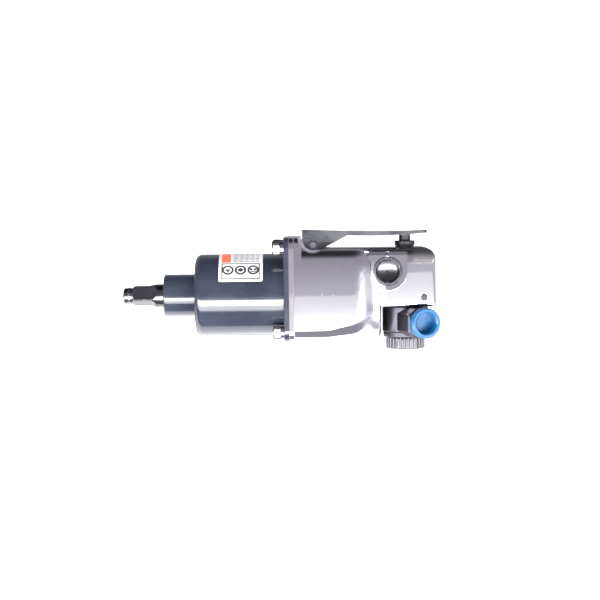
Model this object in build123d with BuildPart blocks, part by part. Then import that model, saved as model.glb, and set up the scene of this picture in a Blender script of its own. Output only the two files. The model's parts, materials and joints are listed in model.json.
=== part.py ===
"""Straight lever-throttle air impact wrench, 3/8 inch square drive.

Frame: millimetres, +Z up. The origin is the centre of the square drive's front
face, on the drive axis. +X runs along the drive axis to the rear of the tool,
the lever is on top, and the air inlet hangs below the rear head.
"""
import os
from math import cos, sin, pi, radians, sqrt

from build123d import *

os.makedirs("parts", exist_ok=True)

# ---------------------------------------------------------------- dimensions
# square drive and anvil
SQUARE_AF = 9.53          # 3/8 in across flats
SQUARE_CORNER_R = 6.40    # corners turned to 12.8 mm
SQUARE_START = 5.4        # round pilot in front of the square
SQUARE_END = 15.0
RUNOUT_R = 8.0            # cutter radius where the flats run out
CORNER_ANGLE = 22.0       # one corner stands this far from +Z towards -Y
PILOT_R = 4.75
SHANK_R = 6.85
JAW_R = 9.6
# hammer case
NOSE_X0, NOSE_X1, NOSE_R = 24.5, 43.5, 12.55
CASE_R, CASE_BORE_R = 24.4, 21.0
FLANGE_X0, FLANGE_X1 = 96.2, 98.9
GASKET_T = 0.4
# four case screws, a rectangle that sits above the drive axis
SCREW_Y, SCREW_Z_TOP, SCREW_Z_BOT = 20.5, 28.1, -21.1
SCREW_R, SCREW_HEAD_R, SCREW_HEAD_L, SCREW_L = 2.45, 4.25, 5.0, 10.0   # M5 x 10 socket head
# motor housing
HOUSING_X0 = FLANGE_X1 + GASKET_T
BARREL_W, BARREL_ZB, BARREL_ZT = 26.6, -27.0, 27.6
BARREL_X1, TAPER_X1 = 118.0, 153.6
SIDE_R = 340.0            # the barrel's sides are slightly convex
LIP_W, LIP_T = 27.1, 3.0
HEAD_W, HEAD_ZB, HEAD_ZT, HEAD_X1 = 17.8, -7.4, 27.6, 185.8
HEAD_SIDE_R, HEAD_SIDE_Z = 500.0, 17.0   # the head is widest at this height
BLOCK_ZT, BLOCK_X1 = 34.5, 106.6
CAVITY_R, CAVITY_X0, CAVITY_X1 = 22.0, 94.3, 139.6
# hammer mechanism
HAMMER_R, HAMMER_BORE_R, DOG_R = 17.5, 11.6, 9.9
PIN_RADIUS, PIN_R = 14.3, 2.1
HAMMER1_X, HAMMER2_X, HAMMER_L = 55.3, 66.3, 10.0
CAGE_R = 20.4
SWING_DEG = 5.0
# motor
ROTOR_X0, ROTOR_X1, ROTOR_R = 102.5, 132.1, 15.3
CYL_X0, CYL_X1, CYL_R, CYL_BORE_R, CYL_ECC = 102.3, 132.3, 21.9, 17.4, 1.9
VANES = 6
# throttle, all on one vertical axis
TX = 168.6
PLUNGER_R, PLUNGER_TOP = 3.4, 35.55
PIVOT_X, PIVOT_Z, LEVER_PIN_R = 113.7, 29.2, 2.1
LEVER_W, LEVER_T = 7.5, 1.5
SCALLOP_X, SCALLOP_Z, SCALLOP_R = 113.4, 33.7, 8.7
# reverse valve, across the head
RX, RZ = 157.3, 13.9
BOSS_R, BOSS_Y, BOSS_ZT, BOSS_LEAN = 11.5, 21.0, 25.2, 0.8
SPOOL_R = 5.15
DETENT_X, DETENT_Y = 155.8, 10.5
# inlet swivel, on the throttle's axis
SPINDLE_R, SWIVEL_R = 8.0, 13.7
SWIVEL_ZT, SWIVEL_ZB = -7.8, -23.0
PORT_Z, PORT_PHI = -16.6, 20.0
PORT_END, PORT_AF = 26.3, 19.0
THREAD_R = 5.7            # 1/4-18 pipe thread, minor diameter 11.4 mm
CAP_R, CAP_END = 8.9, 31.0
KNOB_R, KNOB_ZT, KNOB_ZB = 11.65, -26.5, -33.2
FLUTES = 30
# retaining pin of the inlet spindle, across the head
SPIN_X, SPIN_Z, SPIN_R = 178.65, -1.6, 2.0

PD = (sin(radians(PORT_PHI)), -cos(radians(PORT_PHI)), 0.0)  # port direction
PORT_LONG = Plane(origin=(TX, 0, PORT_Z), x_dir=PD, z_dir=(-cos(radians(PORT_PHI)), -sin(radians(PORT_PHI)), 0))
PORT_FACE = Plane(origin=(TX, 0, PORT_Z), x_dir=(cos(radians(PORT_PHI)), sin(radians(PORT_PHI)), 0), z_dir=PD)
PORT_AXIS = Axis((TX, 0, PORT_Z), PD)
UPRIGHT = Plane(origin=(TX, 0, 0), x_dir=(1, 0, 0), z_dir=(0, -1, 0))
UPRIGHT_AXIS = Axis((TX, 0, 0), (0, 0, 1))
CROSS = Plane(origin=(RX, 0, RZ), x_dir=(0, 1, 0), z_dir=(0, 0, -1))
CROSS_AXIS = Axis((RX, 0, RZ), (0, 1, 0))
SCREWS = [(y, z) for y in (-SCREW_Y, SCREW_Y) for z in (SCREW_Z_TOP, SCREW_Z_BOT)]


def save(builder, name):
    builder.part.label = name
    export_step(builder.part, f"parts/{name}.step")


# ================================================================ front end
# The anvil: ring pilot, 3/8 square, shank, thrust collar, two striking jaws
# half a turn apart, and the rear pilot that runs in the hammer cage.
with BuildPart() as anvil:
    with BuildSketch(Plane.XZ):
        with BuildLine():
            Polyline(
                (0, 0), (0, PILOT_R - 0.9), (0.9, PILOT_R), (2.6, PILOT_R), (2.6, 3.6), (4.6, 3.6),
                (4.6, PILOT_R), (SQUARE_START, PILOT_R), (SQUARE_START + 1.6, SQUARE_CORNER_R),
                (SQUARE_END - 0.5, SQUARE_CORNER_R), (SQUARE_END + 3.5, SHANK_R), (47.3, SHANK_R),
                (47.3, 9.5), (49.8, 9.5), (49.8, 6.9), (76.2, 6.9), (76.2, 4.4), (81.0, 4.4), (81.0, 0),
                close=True,
            )
        make_face()
    revolve(axis=Axis.X)
    for k in range(4):
        a = radians(CORNER_ANGLE + 45 + 90 * k)
        n = (0, -sin(a), cos(a))
        rise = 3.2
        run = sqrt(RUNOUT_R**2 - (RUNOUT_R - rise) ** 2)
        with BuildSketch(Plane(origin=(0, 0, 0), x_dir=(1, 0, 0), z_dir=(0, -n[2], n[1]))):
            with BuildLine():
                h = SQUARE_AF / 2
                Line((-1, h), (SQUARE_END, h))
                RadiusArc((SQUARE_END, h), (SQUARE_END + run, h + rise), -RUNOUT_R)
                Polyline((SQUARE_END + run, h + rise), (SQUARE_END + run, 12), (-1, 12), (-1, h))
            make_face()
        extrude(amount=9, both=True, mode=Mode.SUBTRACT)
    for x0, side in ((HAMMER1_X + 0.2, 1), (HAMMER2_X + 0.2, -1)):
        with BuildSketch(Plane.YZ.offset(x0)):
            with Locations((side * 7.2, 0)):
                Rectangle(8.6, 8.4)
            Circle(JAW_R, mode=Mode.INTERSECT)
        extrude(amount=HAMMER_L - 0.4)
save(anvil, "anvil")

with BuildPart() as socket_ring:
    with BuildSketch(Plane.YZ.offset(2.75)):
        Circle(5.05)
        Circle(4.15, mode=Mode.SUBTRACT)
        with Locations((-4.2, 2.4)):
            Rectangle(2.0, 1.1, rotation=-30, mode=Mode.SUBTRACT)
    extrude(amount=1.7)
    fillet(socket_ring.edges().filter_by(GeomType.CIRCLE).sort_by(SortBy.RADIUS)[-2:], 0.35)
save(socket_ring, "socket_retaining_ring")

with BuildPart() as socket_o_ring:
    with BuildSketch(Plane.XZ):
        with Locations((3.6, 3.87)):
            Circle(0.26)
    revolve(axis=Axis.X)
save(socket_o_ring, "socket_ring_o_ring")

# Hammer case: turned nose and barrel with a flanged rear face.
with BuildPart() as hammer_case:
    with BuildSketch(Plane.XZ):
        with BuildLine():
            Polyline(
                (NOSE_X0, 7.3), (NOSE_X0, NOSE_R), (NOSE_X1, NOSE_R), (NOSE_X1, CASE_R), (FLANGE_X1, CASE_R),
                (FLANGE_X1, CAVITY_R), (CAVITY_X0, CAVITY_R), (CAVITY_X0, CASE_BORE_R), (47.0, CASE_BORE_R),
                (47.0, 9.02), (26.0, 9.02), (26.0, 7.3), close=True,
            )
        make_face()
        fillet(vertices().sort_by(lambda v: abs(v.X - NOSE_X0) + abs(v.Y - NOSE_R))[0], 1.2)
        fillet(vertices().sort_by(lambda v: abs(v.X - NOSE_X1) + abs(v.Y - CASE_R))[0], 4.2)
        fillet(vertices().sort_by(lambda v: abs(v.X - NOSE_X1) + abs(v.Y - NOSE_R))[0], 0.5)
        fillet(vertices().sort_by(lambda v: abs(v.X - 47.0) + abs(v.Y - CASE_BORE_R))[0], 3.0)
    revolve(axis=Axis.X)
    with BuildSketch(Plane.YZ.offset(FLANGE_X0)):
        with Locations((0, (34.3 - 26.8) / 2)):
            RectangleRounded(53.6, 61.1, 6.6)
        Circle(CASE_R - 0.5, mode=Mode.SUBTRACT)
        with Locations(*SCREWS):
            Circle(2.65, mode=Mode.SUBTRACT)
    extrude(amount=FLANGE_X1 - FLANGE_X0)
    fillet(hammer_case.edges().filter_by(GeomType.CIRCLE).filter_by(lambda e: abs(e.radius - CASE_R) < 0.01 and abs(e.arc_center.X - FLANGE_X0) < 0.01), 0.5)
    chamfer(hammer_case.faces().filter_by(Axis.X).filter_by(lambda f: abs(f.center().X - FLANGE_X0) < 0.01 and f.area > 500).edges().filter_by(lambda e: abs(e.center().Y) > 18 or abs(e.center().Z) > 27).filter_by(lambda e: e.geom_type == GeomType.LINE or e.radius > 5), 0.4)
save(hammer_case, "hammer_case")

with BuildPart() as anvil_bushing:
    with BuildSketch(Plane.XZ):
        with BuildLine():
            Polyline((26.1, SHANK_R + 0.03), (26.1, 9.0), (46.9, 9.0), (46.9, SHANK_R + 0.03), close=True)
        make_face()
    revolve(axis=Axis.X)
save(anvil_bushing, "anvil_bushing")

# Data plate: a thin plate rolled round the case, from 21 degrees above the
# near horizontal up over the top.
LABEL_X0, LABEL_X1, LABEL_A0, LABEL_A1 = 58.0, 83.9, 21.3, 112.0
with BuildPart() as data_plate:
    with BuildSketch(Plane.YZ.offset(LABEL_X0)):
        with BuildLine():
            r0, r1 = CASE_R, CASE_R + 0.12
            p = [(-r * cos(radians(a)), r * sin(radians(a))) for r, a in ((r0, LABEL_A0), (r1, LABEL_A0), (r1, LABEL_A1), (r0, LABEL_A1))]
            Line(p[0], p[1])
            CenterArc((0, 0), r1, 180 - LABEL_A0, LABEL_A0 - LABEL_A1)
            Line(p[2], p[3])
            CenterArc((0, 0), r0, 180 - LABEL_A1, LABEL_A1 - LABEL_A0)
        make_face()
    extrude(amount=LABEL_X1 - LABEL_X0)
    fillet(data_plate.edges().filter_by(lambda e: e.geom_type == GeomType.LINE and e.length < 0.2), 1.2)
save(data_plate, "data_plate")

# Hammer cage: two discs joined by two side ribs, with a splined rear hub.
with BuildPart() as hammer_cage:
    with BuildSketch(Plane.YZ.offset(51.0)):
        Circle(CAGE_R)
        Circle(JAW_R + 1.0, mode=Mode.SUBTRACT)
        with Locations((0, PIN_RADIUS), (0, -PIN_RADIUS)):
            Circle(PIN_R + 0.01, mode=Mode.SUBTRACT)
    extrude(amount=4.0)
    with BuildSketch(Plane.YZ.offset(54.0)):
        Circle(CAGE_R)
        Circle(19.0, mode=Mode.SUBTRACT)
        Rectangle(2 * CAGE_R + 2, 20, mode=Mode.INTERSECT)
    extrude(amount=24.0)
    with BuildSketch(Plane.YZ.offset(76.6)):
        Circle(CAGE_R)
        with Locations((0, PIN_RADIUS), (0, -PIN_RADIUS)):
            Circle(PIN_R + 0.01, mode=Mode.SUBTRACT)
    extrude(amount=5.9)
    with BuildSketch(Plane.YZ.offset(80.0)):
        Circle(8.6)
    extrude(amount=13.0)
    with BuildSketch(Plane.YZ.offset(76.0)):
        Circle(4.45)
    extrude(amount=6.0, mode=Mode.SUBTRACT)
    with BuildSketch(Plane.YZ.offset(82.0)):
        Circle(4.25)
        with PolarLocations(4.4, 6):
            Rectangle(1.3, 2.1)
    extrude(amount=12.0, mode=Mode.SUBTRACT)
save(hammer_cage, "hammer_cage")

with BuildPart() as hammer_pins:
    with BuildSketch(Plane.YZ.offset(51.1)):
        with Locations((0, PIN_RADIUS), (0, -PIN_RADIUS)):
            Circle(PIN_R)
    extrude(amount=31.2)
    chamfer(hammer_pins.edges().filter_by(GeomType.CIRCLE), 0.3)
save(hammer_pins, "hammer_pins")

# Two ring hammers. Each swings on one pin and has an open slot round the
# other, which stops it SWING_DEG either way. Two inner dogs strike the jaw.
SLOT_W = 2 * (PIN_R + 2 * PIN_RADIUS * sin(radians(SWING_DEG)) + 0.25)
with BuildPart() as front_hammer:
    with BuildSketch(Plane.YZ.offset(HAMMER1_X)):
        with BuildSketch(Plane.YZ.offset(HAMMER1_X), mode=Mode.PRIVATE) as dogs1:
            Circle(HAMMER_BORE_R + 0.4)
            Circle(DOG_R, mode=Mode.SUBTRACT)
            Rectangle(11.5, 40, mode=Mode.INTERSECT)
        Circle(HAMMER_R)
        Circle(HAMMER_BORE_R, mode=Mode.SUBTRACT)
        add(dogs1.sketch_local)
        with Locations((0, PIN_RADIUS)):
            Circle(PIN_R + 0.04, mode=Mode.SUBTRACT)
        with Locations((0, -(12.0 + 4))):
            Rectangle(SLOT_W, 8, mode=Mode.SUBTRACT)
    extrude(amount=HAMMER_L)
save(front_hammer, "front_hammer")

with BuildPart() as rear_hammer:
    with BuildSketch(Plane.YZ.offset(HAMMER2_X)):
        with BuildSketch(Plane.YZ.offset(HAMMER2_X), mode=Mode.PRIVATE) as dogs2:
            Circle(HAMMER_BORE_R + 0.4)
            Circle(DOG_R, mode=Mode.SUBTRACT)
            Rectangle(11.5, 40, mode=Mode.INTERSECT)
        Circle(HAMMER_R)
        Circle(HAMMER_BORE_R, mode=Mode.SUBTRACT)
        add(dogs2.sketch_local)
        with Locations((0, -PIN_RADIUS)):
            Circle(PIN_R + 0.04, mode=Mode.SUBTRACT)
        with Locations((0, 12.0 + 4)):
            Rectangle(SLOT_W, 8, mode=Mode.SUBTRACT)
    extrude(amount=HAMMER_L)
save(rear_hammer, "rear_hammer")

# ================================================================ case joint
with BuildPart() as case_gasket:
    with BuildSketch(Plane.YZ.offset(FLANGE_X1)):
        with Locations((0, (34.5 - 27.0) / 2)):
            RectangleRounded(53.8, 61.5, 6.6)
        Circle(CAVITY_R + 0.05, mode=Mode.SUBTRACT)
        with Locations(*SCREWS):
            Circle(2.7, mode=Mode.SUBTRACT)
    extrude(amount=GASKET_T)
save(case_gasket, "case_gasket")

with BuildPart() as flat_washers:
    with BuildSketch(Plane.YZ.offset(FLANGE_X0)):
        with Locations(*SCREWS):
            Circle(4.4)
            Circle(2.6, mode=Mode.SUBTRACT)
    extrude(amount=-0.6)
save(flat_washers, "flat_washers")

# Split lock washers, drawn closed flat with their slit.
with BuildPart() as lock_washers:
    with BuildSketch(Plane.YZ.offset(FLANGE_X0 - 0.6)):
        with Locations(*SCREWS):
            Circle(4.2)
            Circle(2.6, mode=Mode.SUBTRACT)
            with Locations((3.5, 0)):
                Rectangle(2.8, 0.5, rotation=18, mode=Mode.SUBTRACT)
    extrude(amount=-1.2)
save(lock_washers, "lock_washers")

HEAD_X = FLANGE_X0 - 1.8
with BuildPart() as case_screws:
    with BuildSketch(Plane.YZ.offset(HEAD_X)):
        with Locations(*SCREWS):
            Circle(SCREW_HEAD_R)
    extrude(amount=-SCREW_HEAD_L)
    chamfer(case_screws.edges().filter_by(GeomType.CIRCLE).group_by(Axis.X)[0], 0.4)
    with BuildSketch(Plane.YZ.offset(HEAD_X - SCREW_HEAD_L)):
        with Locations(*SCREWS):
            RegularPolygon(2.0, 6, major_radius=False)
    extrude(amount=2.5, mode=Mode.SUBTRACT)
    with BuildSketch(Plane.YZ.offset(HEAD_X)):
        with Locations(*SCREWS):
            Circle(SCREW_R)
    extrude(amount=SCREW_L)
    chamfer(case_screws.edges().filter_by(GeomType.CIRCLE).group_by(Axis.X)[-1], 0.5)
save(case_screws, "case_screws")

# ================================================================ housing
SECTIONS = [
    # x, half width, bottom radius, top radius
    (118.0, 26.6, 10.0, 10.0),
    (121.0, 26.6, 10.2, 10.0),
    (127.0, 26.6, 11.8, 10.0),
    (132.5, 26.6, 13.8, 10.0),
    (137.0, 26.5, 15.4, 10.1),
    (141.5, 25.3, 17.2, 10.6),
    (146.0, 22.2, 17.9, 11.6),
    (150.0, 19.4, 17.4, 12.6),
    (153.6, 18.2, 16.6, 13.2),
]


def barrel_outline(w, rb, rt, top=BARREL_ZT):
    """Closed outline of one cross-section of the barrel: convex sides, a round at each corner."""
    cy = w - SIDE_R
    side = {}
    for sign, z, r in ((1, top, rt), (-1, BARREL_ZB, rb)):
        zc = z - sign * r
        yc = cy + sqrt((SIDE_R - r) ** 2 - zc**2)
        uy, uz = (yc - cy) / (SIDE_R - r), zc / (SIDE_R - r)
        my, mz = uy, uz + sign
        m = sqrt(my**2 + mz**2)
        side[sign] = ((cy + SIDE_R * uy, SIDE_R * uz), (yc + r * my / m, zc + r * mz / m), (yc, z))
    (t0, t1, t2), (b0, b1, b2) = side[1], side[-1]
    far = lambda q: (-q[0], q[1])
    Line(far(b2), b2)
    ThreePointArc(b2, b1, b0)
    ThreePointArc(b0, (w, 0), t0)
    ThreePointArc(t0, t1, t2)
    Line(t2, far(t2))
    ThreePointArc(far(t2), far(t1), far(t0))
    ThreePointArc(far(t0), (-w, 0), far(b0))
    ThreePointArc(far(b0), far(b1), far(b2))


GRILLE_X0, GRILLE_X1, GRILLE_W = 108.0, 132.0, 11.5
DOWEL_Z, DOWEL_R = 18.9, 1.25
PORT_Y, PORT_HOLE_R = 6.5, 1.7      # reverse passages from the valve to the motor

# The rear head: its side view, plan and cross-section, kept where all three meet.
with BuildPart() as head_block:
    with BuildSketch(Plane.XZ):
        with Locations(((146 + HEAD_X1) / 2, (HEAD_ZB + HEAD_ZT) / 2)):
            Rectangle(HEAD_X1 - 146, HEAD_ZT - HEAD_ZB)
        fillet(vertices().group_by(Axis.X)[-1].sort_by(Axis.Y)[-1], 7.5)
    extrude(amount=30, both=True)
    with BuildSketch(Plane.XY.offset(-20)):
        with Locations(((146 + HEAD_X1) / 2, 0)):
            Rectangle(HEAD_X1 - 146, 2 * HEAD_W)
        fillet(vertices().group_by(Axis.X)[-1], 2.6)
    extrude(amount=60, mode=Mode.INTERSECT)
    with BuildSketch(Plane.YZ.offset(146)):
        with BuildLine():
            at = lambda side, z: (side * (HEAD_W - (z - HEAD_SIDE_Z) ** 2 / (2 * HEAD_SIDE_R)), z)
            mid = (HEAD_ZB + HEAD_ZT) / 2
            Line(at(-1, HEAD_ZB), at(1, HEAD_ZB))
            ThreePointArc(at(1, HEAD_ZB), at(1, mid), at(1, HEAD_ZT))
            Line(at(1, HEAD_ZT), at(-1, HEAD_ZT))
            ThreePointArc(at(-1, HEAD_ZT), at(-1, mid), at(-1, HEAD_ZB))
        make_face()
        fillet(vertices().group_by(Axis.Y)[-1], 9.0)
        fillet(vertices().group_by(Axis.Y)[0], 1.6)
    extrude(amount=HEAD_X1 - 146, mode=Mode.INTERSECT)

# Flange lip, with a rounded rear edge.
with BuildPart() as lip_block:
    with BuildSketch(Plane.YZ.offset(HOUSING_X0)):
        with Locations((0, (BLOCK_ZT - 27.1) / 2)):
            RectangleRounded(2 * LIP_W, BLOCK_ZT + 27.1, 6.6)
    extrude(amount=LIP_T)
    fillet(lip_block.faces().sort_by(Axis.X)[-1].edges(), 0.7)

# Reverse valve boss on both sides of the head. Both faces lean back a little
# towards the top.
with BuildPart() as boss_block:
    with BuildSketch(Plane.XZ):
        with Locations((RX, RZ)):
            Circle(BOSS_R)
        with Locations((RX, (RZ + BOSS_ZT) / 2)):
            Rectangle(2 * BOSS_R, BOSS_ZT - RZ)
    extrude(amount=BOSS_Y, both=True)
    for side in (-1, 1):
        with BuildSketch(Plane.YZ.offset(RX - 14)):
            with BuildLine():
                Polyline((side * (BOSS_Y - 0.02), RZ - BOSS_R - 1), (side * (BOSS_Y + 1), RZ - BOSS_R - 1), (side * (BOSS_Y + 1), BOSS_ZT + 1), (side * (BOSS_Y - BOSS_LEAN), BOSS_ZT + 1), close=True)
            make_face()
        extrude(amount=28, mode=Mode.SUBTRACT)

with BuildPart() as motor_housing:
    # barrel behind the flange, narrowing to the head
    with BuildSketch(Plane.YZ.offset(HOUSING_X0)):
        with BuildLine():
            barrel_outline(BARREL_W, 10.0, 10.0)
        make_face()
    extrude(amount=BARREL_X1 - HOUSING_X0)
    for x, w, rb, rt in SECTIONS:
        with BuildSketch(Plane.YZ.offset(x)):
            with BuildLine():
                barrel_outline(w, rb, rt)
            make_face()
    loft()
    fillet(motor_housing.faces().sort_by(Axis.X)[-1].edges(), 3.0)
    add(head_block.part)
    # flange lip and the block that takes the upper screws
    add(lip_block.part)
    with BuildSketch(Plane.YZ.offset(HOUSING_X0)):
        with BuildLine():
            barrel_outline(BARREL_W, 10.0, 6.6, BLOCK_ZT)
        make_face()
    extrude(amount=BLOCK_X1 - HOUSING_X0)
    # tongue that carries the lever
    with BuildSketch(Plane.XZ):
        with BuildLine():
            Polyline((106.0, 24), (106.0, 32.0), (107.6, 33.4), (116.5, 33.4), (121.0, 30.2), (122.4, 26.9), (122.4, 24), (106.0, 24))
        make_face()
    extrude(amount=4.5, both=True)
    # reverse valve boss, sloped along its top edge
    add(boss_block.part)
    for side in (-1, 1):
        with BuildSketch(Plane.YZ.offset(RX - 14)):
            with BuildLine():
                Polyline((side * 16.4, BOSS_ZT + 0.1), (side * (BOSS_Y + 0.1), 23.0), (side * (BOSS_Y + 0.1), BOSS_ZT + 0.1), close=True)
            make_face()
        extrude(amount=28, mode=Mode.SUBTRACT)
    # pockets beside the tongue, where the lever's ears hang
    with BuildSketch(Plane.XZ):
        with BuildLine():
            Polyline((BLOCK_X1, 34), (BLOCK_X1, 26.2), (107.8, 25.0), (118.6, 25.0), (121.2, 25.9), (124.4, 27.8), (124.4, 34), (BLOCK_X1, 34))
        make_face()
    extrude(amount=9.6, both=True, mode=Mode.SUBTRACT)
    with BuildSketch(Plane.XZ):
        with BuildLine():
            Polyline((106.0, 22), (106.0, 32.0), (107.6, 33.4), (116.5, 33.4), (121.0, 30.2), (122.4, 26.9), (122.4, 22), (106.0, 22))
        make_face()
    extrude(amount=4.5, both=True)
    with BuildSketch(Plane.XZ):
        with Locations((PIVOT_X, PIVOT_Z)):
            Circle(LEVER_PIN_R)
    extrude(amount=12, both=True, mode=Mode.SUBTRACT)
    # scallops that let the lever's ears and pin be seen from the sides
    for side in (-1, 1):
        with BuildSketch(Plane.XZ.offset(side * 9.4)):
            with Locations((SCALLOP_X, SCALLOP_Z)):
                Circle(SCALLOP_R)
        extrude(amount=side * 20, mode=Mode.SUBTRACT)
    # motor cavity and dowel hole
    with BuildSketch(Plane.YZ.offset(HOUSING_X0 - 1)):
        Circle(CAVITY_R)
    extrude(amount=CAVITY_X1 - HOUSING_X0 + 1, mode=Mode.SUBTRACT)
    with BuildSketch(Plane.YZ.offset(CAVITY_X1 - 1)):
        with Locations((0, DOWEL_Z)):
            Circle(DOWEL_R)
        with Locations((0, 0)):
            Circle(5.5)
    extrude(amount=3.4, mode=Mode.SUBTRACT)
    with BuildSketch(Plane.YZ.offset(HOUSING_X0 - 1)):
        with Locations(*SCREWS):
            Circle(SCREW_R)
    extrude(amount=6.6, mode=Mode.SUBTRACT)
    # exhaust: ledge for the grille, felt pocket, window into the cavity
    with BuildSketch(Plane.XY.offset(BARREL_ZB - 1)):
        with Locations(((GRILLE_X0 + GRILLE_X1) / 2, 0)):
            RectangleRounded(GRILLE_X1 - GRILLE_X0, 2 * GRILLE_W, 3)
    extrude(amount=2.2, mode=Mode.SUBTRACT)
    with BuildSketch(Plane.XY.offset(BARREL_ZB)):
        with Locations(((GRILLE_X0 + GRILLE_X1) / 2, 0)):
            RectangleRounded(GRILLE_X1 - GRILLE_X0 - 4, 13.6, 2)
    extrude(amount=3.1, mode=Mode.SUBTRACT)
    with BuildSketch(Plane.XY.offset(BARREL_ZB + 2)):
        with Locations(((GRILLE_X0 + GRILLE_X1) / 2, 0)):
            RectangleRounded(GRILLE_X1 - GRILLE_X0 - 8, 10, 2)
    extrude(amount=5, mode=Mode.SUBTRACT)
    with BuildSketch(Plane.XY.offset(BARREL_ZB + 1.0)):
        with Locations(((GRILLE_X0 + GRILLE_X1) / 2, -9.2), ((GRILLE_X0 + GRILLE_X1) / 2, 9.2)):
            Circle(1.25)
    extrude(amount=5.0, mode=Mode.SUBTRACT)
    # throttle: guide thread, stem passage, valve chamber
    with BuildSketch(UPRIGHT):
        with BuildLine():
            Polyline(
                (0, 29), (5.05, 29), (5.05, 19.0), (3.75, 19.0), (3.75, 8.2), (5.6, 5.8),
                (5.6, 3.2), (12.55, 3.2), (12.55, -9), (0, -9), close=True,
            )
        make_face()
    revolve(axis=UPRIGHT_AXIS, mode=Mode.SUBTRACT)
    # reverse valve: spool bore, bushing seats, passages
    with BuildSketch(CROSS):
        with BuildLine():
            Polyline(
                (-25, 0), (-25, 8.5), (-19.6, 8.5), (-19.6, 7.6), (-12.6, 7.6), (-12.6, 5.2), (12.6, 5.2),
                (12.6, 7.6), (19.6, 7.6), (19.6, 8.5), (25, 8.5), (25, 0), close=True,
            )
        make_face()
    revolve(axis=CROSS_AXIS, mode=Mode.SUBTRACT)
    with BuildSketch(Plane.YZ.offset(CAVITY_X1 - 1)):
        with Locations((-PORT_Y, RZ), (PORT_Y, RZ)):
            Circle(PORT_HOLE_R)
    extrude(amount=RX - 3 - CAVITY_X1, mode=Mode.SUBTRACT)
    with BuildSketch(Plane.YZ.offset(RX)):
        with Locations((0, 12.4)):
            Circle(2.2)
    extrude(amount=TX - RX - 1, mode=Mode.SUBTRACT)
    # detent hole under the spool, drilled from below and closed by a plug
    with BuildSketch(Plane.XY.offset(HEAD_ZB - 1)):
        with Locations((DETENT_X, DETENT_Y)):
            Circle(1.9)
    extrude(amount=4.2, mode=Mode.SUBTRACT)
    with BuildSketch(Plane.XY.offset(HEAD_ZB - 1)):
        with Locations((DETENT_X, DETENT_Y)):
            Circle(1.25)
    extrude(amount=RZ - HEAD_ZB - 1, mode=Mode.SUBTRACT)
    # cross pin of the inlet spindle
    with BuildSketch(Plane.XZ):
        with Locations((SPIN_X, SPIN_Z)):
            Circle(SPIN_R)
    extrude(amount=30, both=True, mode=Mode.SUBTRACT)
save(motor_housing, "motor_housing")

# ================================================================ motor
with BuildPart() as front_end_plate:
    with BuildSketch(Plane.XZ):
        with BuildLine():
            Polyline((94.35, 12.0), (94.35, 21.95), (102.25, 21.95), (102.25, 6.4), (100.5, 6.4), (100.5, 12.0), close=True)
        make_face()
    revolve(axis=Axis.X)
    with BuildSketch(Plane.YZ.offset(94)):
        with Locations((0, DOWEL_Z)):
            Circle(DOWEL_R)
    extrude(amount=9, mode=Mode.SUBTRACT)
save(front_end_plate, "front_end_plate")


def bearing(name, x0, width, r_in, r_out, race, ball_r, count):
    """One ball bearing as three named pieces, written out at once."""
    mid, x1 = (r_in + r_out) / 2, x0 + width
    groove = ball_r + 0.02
    with BuildPart() as outer:
        with BuildSketch(Plane.XZ):
            with BuildLine():
                Polyline((x0, r_out - race), (x0, r_out), (x1, r_out), (x1, r_out - race), close=True)
            make_face()
            with Locations((x0 + width / 2, mid)):
                Circle(groove, mode=Mode.SUBTRACT)
        revolve(axis=Axis.X)
    save(outer, f"{name}_outer_race")
    with BuildPart() as inner:
        with BuildSketch(Plane.XZ):
            with BuildLine():
                Polyline((x0, r_in), (x0, r_in + race), (x1, r_in + race), (x1, r_in), close=True)
            make_face()
            with Locations((x0 + width / 2, mid)):
                Circle(groove, mode=Mode.SUBTRACT)
        revolve(axis=Axis.X)
    save(inner, f"{name}_inner_race")
    with BuildPart() as balls:
        with BuildSketch(Plane.YZ.offset(x0 + width / 2 - 0.9)):
            Circle(mid + 0.55)
            Circle(mid - 0.55, mode=Mode.SUBTRACT)
        extrude(amount=1.8)
        for k in range(count):
            a = 2 * pi * k / count
            with Locations((x0 + width / 2, mid * cos(a), mid * sin(a))):
                Sphere(ball_r)
    save(balls, f"{name}_balls")


bearing("front_bearing", 94.4, 6.0, 6.0, 12.0, 1.7, 1.55, 12)

with BuildPart() as cylinder:
    with BuildSketch(Plane.YZ.offset(CYL_X0)):
        Circle(CYL_R)
        with Locations((0, -CYL_ECC)):
            Circle(CYL_BORE_R, mode=Mode.SUBTRACT)
        with Locations((0, DOWEL_Z)):
            Circle(DOWEL_R, mode=Mode.SUBTRACT)
    extrude(amount=CYL_X1 - CYL_X0)
    with BuildSketch(Plane.XY.offset(-24)):
        with Locations(((GRILLE_X0 + GRILLE_X1) / 2, 0)):
            with GridLocations(4.2, 7.0, 4, 2):
                Circle(1.4)
    extrude(amount=8, mode=Mode.SUBTRACT)
save(cylinder, "cylinder")

with BuildPart() as cylinder_dowel:
    with BuildSketch(Plane.YZ.offset(95.5)):
        with Locations((0, DOWEL_Z)):
            Circle(DOWEL_R)
    extrude(amount=46.0)
    chamfer(cylinder_dowel.edges().filter_by(GeomType.CIRCLE), 0.25)
save(cylinder_dowel, "cylinder_dowel")

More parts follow.
